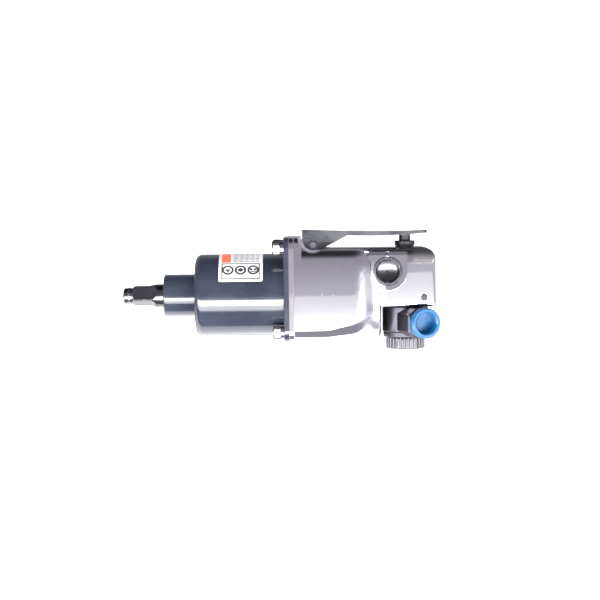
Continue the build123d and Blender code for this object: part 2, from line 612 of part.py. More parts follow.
with BuildPart() as rotor:
    with BuildSketch(Plane.YZ.offset(ROTOR_X0)):
        Circle(ROTOR_R)
        with PolarLocations(11.6, VANES, start_angle=30):
            Rectangle(7.8, 2.1, mode=Mode.SUBTRACT)
    extrude(amount=ROTOR_X1 - ROTOR_X0)
    with BuildSketch(Plane.YZ.offset(94.2)):
        Circle(6.0)
    extrude(amount=ROTOR_X0 - 94.2)
    with BuildSketch(Plane.YZ.offset(82.4)):
        Circle(4.2)
        with PolarLocations(4.35, VANES):
            Rectangle(1.25, 2.0)
    extrude(amount=12)
    with BuildSketch(Plane.YZ.offset(ROTOR_X1)):
        Circle(3.0)
    extrude(amount=8.3)
save(rotor, "rotor")

with BuildPart() as rotor_blades:
    with BuildSketch(Plane.YZ.offset(ROTOR_X0)):
        with PolarLocations(11.4, VANES, start_angle=30):
            Rectangle(6.9, 2.0)
    extrude(amount=ROTOR_X1 - ROTOR_X0)
save(rotor_blades, "rotor_blades")

with BuildPart() as rear_end_plate:
    with BuildSketch(Plane.XZ):
        with BuildLine():
            Polyline((132.35, 3.5), (132.35, 21.95), (139.55, 21.95), (139.55, 9.5), (133.5, 9.5), (133.5, 3.5), close=True)
        make_face()
    revolve(axis=Axis.X)
    with BuildSketch(Plane.YZ.offset(132)):
        with Locations((0, DOWEL_Z)):
            Circle(DOWEL_R)
        with Locations((-PORT_Y, RZ), (PORT_Y, RZ)):
            Circle(PORT_HOLE_R)
    extrude(amount=9, mode=Mode.SUBTRACT)
save(rear_end_plate, "rear_end_plate")

bearing("rear_bearing", 133.55, 6.0, 3.0, 9.5, 1.6, 1.7, 8)

# ================================================================ lever
with BuildPart() as throttle_lever:
    with BuildSketch(Plane.XZ):
        with BuildLine():
            Polyline(
                (181.6, 35.85), (173.0, 35.2), (161.0, 34.6), (148.6, 34.4), (134.0, 34.7), (119.8, 27.3),
                (116.4, 26.3), (112.0, 26.3), (109.0, 28.0), (107.4, 31.6), (107.1, 38.4),
            )
            Spline((107.1, 38.4), (130.0, 37.6), (154.0, 37.05), (170.0, 37.15), (181.6, 37.5))
            Line((181.6, 37.5), (181.6, 35.85))
        make_face()
    extrude(amount=LEVER_W, both=True)
    with BuildSketch(Plane.XZ):
        with BuildLine():
            Polyline((181.6, 35.95), (184, 35.95), (184, 20), (100, 20), (100, 36.9), (107.1, 36.9))
            Spline((107.1, 36.9), (130.0, 36.1), (154.0, 35.55), (170.0, 35.65), (181.6, 35.95))
        make_face()
    extrude(amount=LEVER_W - LEVER_T, both=True, mode=Mode.SUBTRACT)
    with BuildSketch(Plane.XZ):
        with Locations((PIVOT_X, PIVOT_Z)):
            Circle(LEVER_PIN_R + 0.05)
    extrude(amount=12, both=True, mode=Mode.SUBTRACT)
    with BuildSketch(Plane.XY.offset(20)):
        with Locations(((100 + 181.6) / 2, 0)):
            Rectangle(81.6, 2 * LEVER_W)
        fillet(vertices().group_by(Axis.X)[-1], 3.0)
    extrude(amount=24, mode=Mode.INTERSECT)
save(throttle_lever, "throttle_lever")

with BuildPart() as lever_pin:
    with BuildSketch(Plane.XZ):
        with Locations((PIVOT_X, PIVOT_Z)):
            Circle(LEVER_PIN_R)
    extrude(amount=8.8, both=True)
    chamfer(lever_pin.edges().filter_by(GeomType.CIRCLE), 0.3)
    for side in (-1, 1):
        with BuildSketch(Plane.XZ.offset(side * 7.7)):
            with Locations((PIVOT_X, PIVOT_Z)):
                Circle(LEVER_PIN_R + 1)
                Circle(LEVER_PIN_R - 0.4, mode=Mode.SUBTRACT)
        extrude(amount=side * 0.6, mode=Mode.SUBTRACT)
save(lever_pin, "lever_pin")

# Retaining clips in the grooves at the pin's ends, open at one side.
with BuildPart() as lever_pin_clips:
    for side in (-1, 1):
        with BuildSketch(Plane.XZ.offset(side * 7.75)):
            with Locations((PIVOT_X, PIVOT_Z)):
                Circle(3.1)
                Circle(LEVER_PIN_R - 0.38, mode=Mode.SUBTRACT)
            with Locations((PIVOT_X - 2.4, PIVOT_Z)):
                Rectangle(2.6, 2.2, mode=Mode.SUBTRACT)
        extrude(amount=side * 0.5)
save(lever_pin_clips, "lever_pin_clips")

# ================================================================ throttle
with BuildPart() as plunger_guide:
    with BuildSketch(UPRIGHT):
        with BuildLine():
            Polyline(
                (PLUNGER_R + 0.05, 19.1), (5.05, 19.1), (5.05, HEAD_ZT), (5.5, HEAD_ZT), (5.5, 28.4), (6.1, 28.8), (6.1, 30.9),
                (5.7, 31.3), (PLUNGER_R + 0.05, 31.3), (PLUNGER_R + 0.05, 24.4), (4.4, 24.4), (4.4, 22.6), (PLUNGER_R + 0.05, 22.6),
                close=True,
            )
        make_face()
    revolve(axis=UPRIGHT_AXIS)
save(plunger_guide, "plunger_guide")

with BuildPart() as plunger_o_ring:
    with BuildSketch(UPRIGHT):
        with Locations((3.93, 23.5)):
            Circle(0.46)
    revolve(axis=UPRIGHT_AXIS)
save(plunger_o_ring, "plunger_o_ring")

with BuildPart() as throttle_plunger:
    with BuildSketch(UPRIGHT):
        with BuildLine():
            Polyline((0, 10.0), (1.6, 10.0), (1.6, 17.0), (PLUNGER_R, 18.4), (PLUNGER_R, PLUNGER_TOP - 0.6), (PLUNGER_R - 0.6, PLUNGER_TOP), (0, PLUNGER_TOP), close=True)
        make_face()
    revolve(axis=UPRIGHT_AXIS)
save(throttle_plunger, "throttle_plunger")

# The valve plug hangs on the stem, just below its conical seat.
with BuildPart() as throttle_valve:
    with BuildSketch(UPRIGHT):
        with BuildLine():
            Polyline((0, 10.0), (1.6, 10.0), (1.6, 9.6), (3.5, 8.2), (5.2, 6.0), (5.2, 5.4), (1.4, 5.4), (1.4, 4.6), (0, 4.6), close=True)
        make_face()
    revolve(axis=UPRIGHT_AXIS)
save(throttle_valve, "throttle_valve")

SPRING_R, SPRING_WIRE, SPRING_Z0, SPRING_Z1 = 4.95, 0.33, -3.0, 5.4
with BuildPart() as throttle_spring:
    with BuildLine() as coil:
        Helix(pitch=1.75, height=SPRING_Z1 - SPRING_Z0 - 2 * SPRING_WIRE - 0.06, radius=SPRING_R, center=(TX, 0, SPRING_Z0 + SPRING_WIRE + 0.03))
    with BuildSketch(Plane(origin=coil.line @ 0, z_dir=coil.line % 0)):
        Circle(SPRING_WIRE)
    sweep(path=coil.line, is_frenet=True)
save(throttle_spring, "throttle_spring")

# ================================================================ reverse valve
SPOOL_Y = 3.0             # the valve rests pushed through, away from -Y
dish_r = (5.85**2 + 1.6**2) / 3.2
dish_mid = 1.6 - (dish_r - sqrt(dish_r**2 - 16.0))
with BuildPart() as reverse_spool:
    with BuildSketch(CROSS):
        with BuildLine():
            c = SPOOL_Y
            Polyline(
                (c - 16, 0), (c - 16, SPOOL_R), (c - 5.4, SPOOL_R), (c - 5.4, 3.3), (c + 5.4, 3.3), (c + 5.4, SPOOL_R),
                (c + 6.2, SPOOL_R), (c + 6.2, 4.6), (c + 14.8, 4.6), (c + 14.8, SPOOL_R), (c + 16, SPOOL_R), (c + 16, 0), close=True,
            )
        make_face()
    revolve(axis=CROSS_AXIS)
    with BuildSketch(Plane.XZ.offset(-(SPOOL_Y + 17))):
        with Locations((RX, RZ)):
            Circle(1.8)
    extrude(amount=5.0, mode=Mode.SUBTRACT)
    with BuildSketch(Plane.XZ.offset(-(SPOOL_Y - 17))):
        with Locations((RX, RZ)):
            Circle(1.8)
    extrude(amount=-5.0, mode=Mode.SUBTRACT)
save(reverse_spool, "reverse_spool")

for side, name in ((-1, "reverse_button_near"), (1, "reverse_button_far")):
    with BuildPart() as reverse_button:
        y0 = SPOOL_Y + side * 16
        y1 = SPOOL_Y + side * 19
        with BuildSketch(CROSS):
            with BuildLine():
                Polyline((y0 - side * 4, 0), (y0 - side * 4, 1.8), (y0, 1.8), (y0, 6.35), (y1 - side * 0.5, 6.35), (y1, 5.85))
                ThreePointArc((y1, 5.85), (y1 - side * dish_mid, 4.0), (y1 - side * 1.6, 0))
                Line((y1 - side * 1.6, 0), (y0 - side * 4, 0))
            make_face()
        revolve(axis=CROSS_AXIS)
    save(reverse_button, name)

for side, name in ((-1, "reverse_bushing_near"), (1, "reverse_bushing_far")):
    with BuildPart() as reverse_bushing:
        with BuildSketch(CROSS):
            with BuildLine():
                s = side
                Polyline(
                    (s * 12.6, 6.7), (s * 12.6, 7.6), (s * 19.6, 7.6), (s * 19.6, 8.5), (s * 21.0, 8.5),
                    (s * 21.35, 8.15), (s * 21.35, 7.1), (s * 20.95, 6.7), close=True,
                )
            make_face()
        revolve(axis=CROSS_AXIS)
        with Locations((RX, side * 21.3, RZ + 7.6), (RX, side * 21.3, RZ - 7.6)):
            Box(1.7, 2.2, 2.6, mode=Mode.SUBTRACT)
    save(reverse_bushing, name)

BALL_Z = RZ - sqrt(5.85**2 - (RX - DETENT_X) ** 2)
with BuildPart() as reverse_detent_ball:
    with Locations((DETENT_X, DETENT_Y, BALL_Z)):
        Sphere(1.2)
save(reverse_detent_ball, "reverse_detent_ball")

with BuildPart() as reverse_detent_spring:
    with BuildLine() as detent_coil:
        Helix(pitch=1.1, height=BALL_Z - 1.2 + 4.2 - 0.6, radius=0.92, center=(DETENT_X, DETENT_Y, -4.2 + 0.25))
    with BuildSketch(Plane(origin=detent_coil.line @ 0, z_dir=detent_coil.line % 0)):
        Circle(0.22)
    sweep(path=detent_coil.line, is_frenet=True)
save(reverse_detent_spring, "reverse_detent_spring")

with BuildPart() as detent_plug:
    with BuildSketch(Plane.XY.offset(HEAD_ZB)):
        with Locations((DETENT_X, DETENT_Y)):
            Circle(1.9)
    extrude(amount=3.2)
    with BuildSketch(Plane.XY.offset(HEAD_ZB)):
        with Locations((DETENT_X, DETENT_Y)):
            Rectangle(4.2, 0.6)
    extrude(amount=0.8, mode=Mode.SUBTRACT)
save(detent_plug, "detent_plug")

# ================================================================ inlet swivel
with BuildPart() as inlet_spindle:
    with BuildSketch(UPRIGHT):
        with BuildLine():
            Polyline(
                (5.5, 3.15), (12.5, 3.15), (12.5, 2.35), (11.6, 2.35), (11.6, 1.15), (12.5, 1.15), (12.5, SPIN_Z + 2.05), (8.03, SPIN_Z + 2.05),
                (8.03, SPIN_Z - 2.05), (12.5, SPIN_Z - 2.05), (12.5, -7.35), (SPINDLE_R, -7.35), (SPINDLE_R, -9.7), (7.2, -9.7), (7.2, -10.7),
                (SPINDLE_R, -10.7), (SPINDLE_R, -13.2), (6.8, -13.2), (6.8, -20.0), (SPINDLE_R, -20.0), (SPINDLE_R, -21.1),
                (7.2, -21.1), (7.2, -22.1), (SPINDLE_R, -22.1), (SPINDLE_R, -23.0), (6.4, -23.0), (6.4, -26.2), (2.65, -26.2),
                (2.65, -21.5), (4.6, -21.5), (4.6, -3.0), (5.5, -3.0), close=True,
            )
        make_face()
    revolve(axis=UPRIGHT_AXIS)
    for turn in (0, 90):
        with BuildSketch(Plane(origin=(TX, 0, PORT_Z), x_dir=(cos(radians(turn)), sin(radians(turn)), 0), z_dir=(sin(radians(turn)), -cos(radians(turn)), 0))):
            Circle(2.2)
        extrude(amount=9, both=True, mode=Mode.SUBTRACT)
save(inlet_spindle, "inlet_spindle")

with BuildPart() as spindle_o_ring:
    with BuildSketch(UPRIGHT):
        with Locations((12.08, 1.75)):
            Circle(0.47)
    revolve(axis=UPRIGHT_AXIS)
save(spindle_o_ring, "spindle_o_ring")

with BuildPart() as spindle_pin:
    with BuildSketch(Plane.XZ):
        with Locations((SPIN_X, SPIN_Z)):
            Circle(SPIN_R)
    extrude(amount=HEAD_W - 0.6, both=True)
    chamfer(spindle_pin.edges().filter_by(GeomType.CIRCLE), 0.35)
save(spindle_pin, "spindle_pin")

with BuildPart() as swivel_body:
    with BuildSketch(PORT_FACE):
        with BuildLine():
            w, f, t = PORT_AF / 2, 5.0, 8.3
            Polyline((-w, -f), (-w, f), (-w + 4.6, t), (w - 4.6, t), (w, f), (w, -f), (w - 4.6, -t), (-w + 4.6, -t), close=True)
        make_face()
    extrude(amount=PORT_END)
    chamfer(swivel_body.faces().sort_by(PORT_AXIS)[-1].edges(), 0.5)
    with BuildSketch(UPRIGHT):
        with BuildLine():
            Polyline((0, SWIVEL_ZB - 6), (SWIVEL_R + 0.1, SWIVEL_ZB - 6), (SWIVEL_R + 0.1, SWIVEL_ZB), (0, SWIVEL_ZB), close=True)
        make_face()
    revolve(axis=UPRIGHT_AXIS, mode=Mode.SUBTRACT)
    with BuildSketch(UPRIGHT):
        with BuildLine():
            Polyline(
                (0, SWIVEL_ZT), (SWIVEL_R - 0.6, SWIVEL_ZT), (SWIVEL_R, SWIVEL_ZT - 0.6), (SWIVEL_R, SWIVEL_ZB + 0.5),
                (SWIVEL_R - 0.5, SWIVEL_ZB), (0, SWIVEL_ZB), close=True,
            )
        make_face()
    revolve(axis=UPRIGHT_AXIS)
    with BuildSketch(Plane(origin=(TX, 0, -40), z_dir=(0, 0, 1))):
        Circle(SPINDLE_R + 0.05)
    extrude(amount=40, mode=Mode.SUBTRACT)
    with BuildSketch(PORT_FACE):
        Circle(4.2)
    extrude(amount=PORT_END, mode=Mode.SUBTRACT)
    with BuildSketch(PORT_FACE.offset(8.85)):
        Circle(5.0)
    extrude(amount=1.0, mode=Mode.SUBTRACT)
    with BuildSketch(PORT_FACE.offset(9.5)):
        Circle(THREAD_R)
    extrude(amount=PORT_END - 9.5, mode=Mode.SUBTRACT)
    with BuildSketch(PORT_FACE.offset(PORT_END - 5.0)):
        Circle(7.2)
    extrude(amount=6, mode=Mode.SUBTRACT)
save(swivel_body, "swivel_body")

with BuildPart() as swivel_o_rings:
    with BuildSketch(UPRIGHT):
        with Locations((7.62, -10.2), (7.62, -21.6)):
            Circle(0.41)
    revolve(axis=UPRIGHT_AXIS)
save(swivel_o_rings, "swivel_o_rings")

with BuildPart() as inlet_screen:
    with BuildSketch(PORT_FACE.offset(8.85)):
        Circle(5.0)
        with GridLocations(1.5, 1.5, 5, 5):
            Rectangle(1.05, 1.05, mode=Mode.SUBTRACT)
    extrude(amount=0.55)
save(inlet_screen, "inlet_screen")

with BuildPart() as swivel_washer:
    with BuildSketch(UPRIGHT):
        with BuildLine():
            Polyline((6.4, -23.1), (13.2, -23.1), (13.2, -25.7), (12.7, -26.2), (6.4, -26.2), close=True)
        make_face()
    revolve(axis=UPRIGHT_AXIS)
save(swivel_washer, "swivel_washer")

# Regulator: a ported cup in the spindle, turned by the fluted knob below it.
with BuildPart() as regulator_valve:
    with BuildSketch(UPRIGHT):
        with BuildLine():
            Polyline(
                (3.1, -11.0), (4.55, -11.0), (4.55, -21.3), (2.6, -21.3), (2.6, -31.2), (2.2, -31.2), (2.2, -32.0),
                (2.6, -32.0), (2.6, -32.6), (0, -32.6), (0, -20.0), (3.1, -20.0), close=True,
            )
        make_face()
    revolve(axis=UPRIGHT_AXIS)
    with BuildSketch(PORT_FACE):
        Circle(2.2)
    extrude(amount=9, mode=Mode.SUBTRACT)
save(regulator_valve, "regulator_valve")

with BuildPart() as regulator_knob:
    with BuildSketch(UPRIGHT):
        with BuildLine():
            Polyline(
                (2.6, KNOB_ZT), (KNOB_R - 0.7, KNOB_ZT), (KNOB_R, KNOB_ZT - 0.7), (KNOB_R, KNOB_ZB + 0.6), (KNOB_R - 0.6, KNOB_ZB),
                (6.5, KNOB_ZB), (6.5, -31.2), (2.6, -31.2), close=True,
            )
        make_face()
    revolve(axis=UPRIGHT_AXIS)
    with BuildSketch(Plane(origin=(TX, 0, KNOB_ZB - 1), z_dir=(0, 0, 1))):
        with PolarLocations(KNOB_R - 0.1, FLUTES):
            Circle(0.72)
    extrude(amount=KNOB_ZT - KNOB_ZB + 2, mode=Mode.SUBTRACT)
save(regulator_knob, "regulator_knob")

with BuildPart() as knob_circlip:
    with BuildSketch(Plane(origin=(TX, 0, -32.0), z_dir=(0, 0, 1))):
        Circle(4.3)
        Circle(2.2, mode=Mode.SUBTRACT)
        with Locations((3.6, 0)):
            Rectangle(3.6, 2.6, mode=Mode.SUBTRACT)
    extrude(amount=0.8)
save(knob_circlip, "knob_circlip")

# Dust cap: a soft plug with an open cup facing outwards.
with BuildPart() as dust_cap:
    with BuildSketch(PORT_LONG):
        with BuildLine():
            Polyline(
                (21.6, 0), (21.6, 6.6), (22.2, 7.15), (26.6, 7.15), (26.6, CAP_R), (CAP_END - 0.6, CAP_R), (CAP_END, CAP_R - 0.6),
                (CAP_END, 7.0), (CAP_END - 0.7, 6.3), (23.2, 6.0), (23.2, 0), close=True,
            )
        make_face()
    revolve(axis=PORT_AXIS)
save(dust_cap, "dust_cap")

# ================================================================ exhaust
GRILLE_MX = (GRILLE_X0 + GRILLE_X1) / 2
with BuildPart() as exhaust_grille:
    with BuildSketch(Plane.XY.offset(BARREL_ZB)):
        with Locations((GRILLE_MX, 0)):
            RectangleRounded(GRILLE_X1 - GRILLE_X0 - 0.2, 2 * GRILLE_W - 0.2, 2.9)
            with GridLocations(0, 2.6, 1, 5):
                SlotOverall(17, 1.3, mode=Mode.SUBTRACT)
        with Locations((GRILLE_MX, -9.2), (GRILLE_MX, 9.2)):
            Circle(1.3, mode=Mode.SUBTRACT)
    extrude(amount=1.2)
    for y in (-9.2, 9.2):
        with BuildSketch(Plane(origin=(GRILLE_MX, y, 0), x_dir=(1, 0, 0), z_dir=(0, -1, 0))):
            with BuildLine():
                Polyline((0, BARREL_ZB - 0.1), (2.3, BARREL_ZB - 0.1), (1.3, BARREL_ZB + 0.92), (0, BARREL_ZB + 0.92), close=True)
            make_face()
        revolve(axis=Axis((GRILLE_MX, y, 0), (0, 0, 1)), mode=Mode.SUBTRACT)
save(exhaust_grille, "exhaust_grille")

with BuildPart() as muffler_felt:
    with BuildSketch(Plane.XY.offset(BARREL_ZB + 1.2)):
        with Locations((GRILLE_MX, 0)):
            RectangleRounded(GRILLE_X1 - GRILLE_X0 - 4.2, 13.4, 1.9)
    extrude(amount=1.85)
save(muffler_felt, "muffler_felt")

with BuildPart() as grille_screws:
    for y in (-9.2, 9.2):
        axis_y = Axis((GRILLE_MX, y, 0), (0, 0, 1))
        with BuildSketch(Plane(origin=(GRILLE_MX, y, 0), x_dir=(1, 0, 0), z_dir=(0, -1, 0))):
            with BuildLine():
                Polyline((0, BARREL_ZB), (2.15, BARREL_ZB), (1.25, BARREL_ZB + 0.9), (1.25, BARREL_ZB + 5.2), (0, BARREL_ZB + 5.6), close=True)
            make_face()
        revolve(axis=axis_y)
    with BuildSketch(Plane.XY.offset(BARREL_ZB - 0.1)):
        with Locations((GRILLE_MX, -9.2), (GRILLE_MX, 9.2)):
            Rectangle(4.6, 0.5)
    extrude(amount=0.6, mode=Mode.SUBTRACT)
save(grille_screws, "grille_screws")
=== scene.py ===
import json
import math

import bmesh
import bpy
from mathutils import Matrix, Vector


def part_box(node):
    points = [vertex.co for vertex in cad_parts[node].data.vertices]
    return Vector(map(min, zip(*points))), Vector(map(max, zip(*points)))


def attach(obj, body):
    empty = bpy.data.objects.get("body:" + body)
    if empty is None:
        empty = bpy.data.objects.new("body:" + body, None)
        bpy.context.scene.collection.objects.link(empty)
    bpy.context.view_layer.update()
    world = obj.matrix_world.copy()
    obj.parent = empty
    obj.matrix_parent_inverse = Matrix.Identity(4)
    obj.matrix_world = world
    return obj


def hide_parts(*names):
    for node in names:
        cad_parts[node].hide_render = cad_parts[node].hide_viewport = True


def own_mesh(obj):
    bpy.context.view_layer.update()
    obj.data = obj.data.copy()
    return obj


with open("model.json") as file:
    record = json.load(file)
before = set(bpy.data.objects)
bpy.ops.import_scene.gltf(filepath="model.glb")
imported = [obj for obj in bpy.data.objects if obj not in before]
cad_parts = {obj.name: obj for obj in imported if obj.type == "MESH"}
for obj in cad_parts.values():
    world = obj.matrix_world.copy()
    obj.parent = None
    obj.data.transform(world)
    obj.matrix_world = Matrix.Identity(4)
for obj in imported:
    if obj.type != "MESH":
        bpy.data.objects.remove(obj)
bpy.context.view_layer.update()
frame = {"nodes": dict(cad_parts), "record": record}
nodes = frame["nodes"]
scene = bpy.context.scene
scene.view_settings.view_transform = "Standard"
scene.view_settings.look = "None"


# ------------------------------------------------------------------ materials
class Graph:
    """One node material: a principled shader with procedural colour, roughness and bump."""

    def __init__(self, name):
        self.m = bpy.data.materials.new(name)
        self.m.use_nodes = True
        self.t = self.m.node_tree
        self.p = self.t.nodes["Principled BSDF"]
        self.coord = self.t.nodes.new("ShaderNodeTexCoord").outputs["Object"]
        self.normal = None

    def node(self, kind, **inputs):
        n = self.t.nodes.new(kind)
        for k, v in inputs.items():
            self.put(n.inputs[k.replace("_", " ")], v)
        return n

    def put(self, socket, value):
        if isinstance(value, bpy.types.NodeSocket):
            self.t.links.new(value, socket)
        else:
            socket.default_value = value

    def stretch(self, x, y, z):
        n = self.t.nodes.new("ShaderNodeMapping")
        n.inputs["Scale"].default_value = (x, y, z)
        self.t.links.new(self.coord, n.inputs["Vector"])
        return n.outputs["Vector"]

    def noise(self, scale, detail=3.0, rough=0.55, vector=None, distortion=0.0):
        n = self.node("ShaderNodeTexNoise", Scale=scale, Detail=detail, Roughness=rough, Distortion=distortion)
        self.t.links.new(vector or self.coord, n.inputs["Vector"])
        return n.outputs["Fac"]

    def span(self, value, lo, hi, a=0.35, b=0.65):
        n = self.t.nodes.new("ShaderNodeMapRange")
        n.inputs["From Min"].default_value = a
        n.inputs["From Max"].default_value = b
        n.inputs["To Min"].default_value = lo
        n.inputs["To Max"].default_value = hi
        self.t.links.new(value, n.inputs["Value"])
        return n.outputs["Result"]

    def math(self, op, a, b=0.0, c=0.0):
        n = self.t.nodes.new("ShaderNodeMath")
        n.operation = op
        self.put(n.inputs[0], a)
        self.put(n.inputs[1], b)
        self.put(n.inputs[2], c)
        return n.outputs[0]

    def mix(self, fac, a, b):
        n = self.t.nodes.new("ShaderNodeMix")
        n.data_type = "RGBA"
        self.put(n.inputs[0], fac)
        self.put(n.inputs[6], a if isinstance(a, bpy.types.NodeSocket) else (*a, 1))
        self.put(n.inputs[7], b if isinstance(b, bpy.types.NodeSocket) else (*b, 1))
        return n.outputs[2]

    def bevel(self, radius):
        n = self.t.nodes.new("ShaderNodeBevel")
        n.samples = 4
        n.inputs["Radius"].default_value = radius
        self.normal = n.outputs["Normal"]
        return self.normal

    def edge(self, radius, lo=0.02, hi=0.12):
        """1 along sharp edges, 0 on open faces."""
        b = self.t.nodes.new("ShaderNodeBevel")
        b.samples = 4
        b.inputs["Radius"].default_value = radius
        g = self.t.nodes.new("ShaderNodeNewGeometry")
        d = self.t.nodes.new("ShaderNodeVectorMath")
        d.operation = "DOT_PRODUCT"
        self.t.links.new(b.outputs["Normal"], d.inputs[0])
        self.t.links.new(g.outputs["Normal"], d.inputs[1])
        return self.span(self.math("SUBTRACT", 1.0, d.outputs["Value"]), 0.0, 1.0, lo, hi)

    def bump(self, height, strength, distance):
        n = self.t.nodes.new("ShaderNodeBump")
        n.inputs["Strength"].default_value = strength
        n.inputs["Distance"].default_value = distance
        self.t.links.new(height, n.inputs["Height"])
        if self.normal is not None:
            self.t.links.new(self.normal, n.inputs["Normal"])
        self.normal = n.outputs["Normal"]

    def done(self, color, rough, **fixed):
        self.put(self.p.inputs["Base Color"], color if isinstance(color, bpy.types.NodeSocket) else (*color, 1))
        self.put(self.p.inputs["Roughness"], rough)
        for k, v in fixed.items():
            self.p.inputs[k.replace("_", " ")].default_value = v
        if self.normal is not None:
            self.t.links.new(self.normal, self.p.inputs["Normal"])
        return self.m

    def axis(self, which):
        n = self.t.nodes.new("ShaderNodeSeparateXYZ")
        self.t.links.new(self.coord, n.inputs[0])
        return n.outputs[which]


def metal(name, color, rough, spread=0.06, grain=(1, 1, 1), scale=900, depth=0.00001, bevel=0.00015, tint=0.9, wear=None):
    """Machined, ground or brushed metal; grain stretches the tool marks along an axis."""
    g = Graph(name)
    g.bevel(bevel)
    marks = g.noise(scale, 4.0, 0.6, g.stretch(*grain))
    cloud = g.noise(90, 3.0)
    g.bump(marks, 0.35, depth)
    low = tuple(c * tint for c in color)
    shade = g.mix(g.span(cloud, 0.0, 1.0, 0.3, 0.7), low, color)
    if wear:
        shade = g.mix(g.edge(0.0003), shade, wear)
    r = g.span(g.math("ADD", g.math("MULTIPLY", marks, 0.6), g.math("MULTIPLY", cloud, 0.4)), max(0.02, rough - spread), rough + spread)
    return g.done(shade, r, Metallic=1.0)


def aluminium():
    """Polished casting: mirror-bright flanks, rough as cast at the back of the top."""
    g = Graph("polished_aluminium")
    g.bevel(0.0004)
    x, z = g.axis("X"), g.axis("Z")
    cast = g.math(
        "MULTIPLY",
        g.math("MULTIPLY", g.span(x, 0.0, 1.0, 0.166, 0.174), g.span(z, 0.0, 1.0, 0.0175, 0.0205)),
        1.0,
    )
    sway = g.noise(26, 1.0, 0.4)
    g.bump(sway, 0.06, 0.0006)
    lines = g.noise(1500, 2.0, 0.5, g.stretch(0.25, 1, 1))
    g.bump(lines, 0.06, 0.000004)
    pits = g.noise(2600, 4.0, 0.7)
    g.bump(g.math("MULTIPLY", pits, cast), 0.7, 0.00008)
    cloud = g.noise(60, 4.0, 0.6)
    smooth = g.span(cloud, 0.022, 0.050)
    satin = g.math("MULTIPLY", g.span(x, 0.0, 1.0, 0.1375, 0.1435), g.span(z, 1.0, 0.0, 0.012, 0.022))
    satin = g.math("MULTIPLY", satin, g.span(x, 1.0, 0.0, 0.1545, 0.1580))
    rough = g.math("ADD", g.math("ADD", smooth, g.math("MULTIPLY", cast, 0.3)), g.math("MULTIPLY", satin, 0.24))
    shade = g.mix(g.span(cloud, 0.0, 1.0, 0.3, 0.7), (0.83, 0.82, 0.85), (0.89, 0.88, 0.91))
    shade = g.mix(g.math("MULTIPLY", cast, 0.7), shade, (0.60, 0.58, 0.56))
    return g.done(shade, rough, Metallic=1.0)


def enamel():
    g = Graph("black_enamel")
    g.bevel(0.0003)
    peel = g.noise(420, 2.0, 0.4)
    g.bump(peel, 0.08, 0.00004)
    cloud = g.noise(45, 4.0, 0.6)
    shade = g.mix(g.span(cloud, 0.0, 1.0), (0.014, 0.017, 0.030), (0.022, 0.026, 0.042))
    dust = g.noise(5200, 1.0, 0.5)
    shade = g.mix(g.span(dust, 0.0, 0.35, 0.70, 0.78), shade, (0.10, 0.11, 0.13))
    shade = g.mix(g.math("MULTIPLY", g.edge(0.0004, 0.05, 0.3), 0.25), shade, (0.16, 0.16, 0.17))
    return g.done(shade, g.span(cloud, 0.16, 0.26), Coat_Weight=1.0, Coat_Roughness=0.05, Coat_IOR=1.55, Specular_IOR_Level=0.25)


def plastic(name, low, high, rough, bump=0.00002, scale=1400, **fixed):
    g = Graph(name)
    g.bevel(0.00025)
    fine = g.noise(scale, 3.0, 0.6)
    cloud = g.noise(120, 3.0)
    g.bump(fine, 0.25, bump)
    return g.done(g.mix(g.span(cloud, 0.0, 1.0), low, high), g.span(fine, rough - 0.04, rough + 0.06), **fixed)


def fibre(name, low, high, rough, scale, bump):
    g = Graph(name)
    strands = g.noise(scale, 6.0, 0.75, g.stretch(1, 2.5, 1), 0.6)
    g.bump(strands, 0.8, bump)
    return g.done(g.mix(g.span(strands, 0.0, 1.0), low, high), rough, Sheen_Weight=0.2)


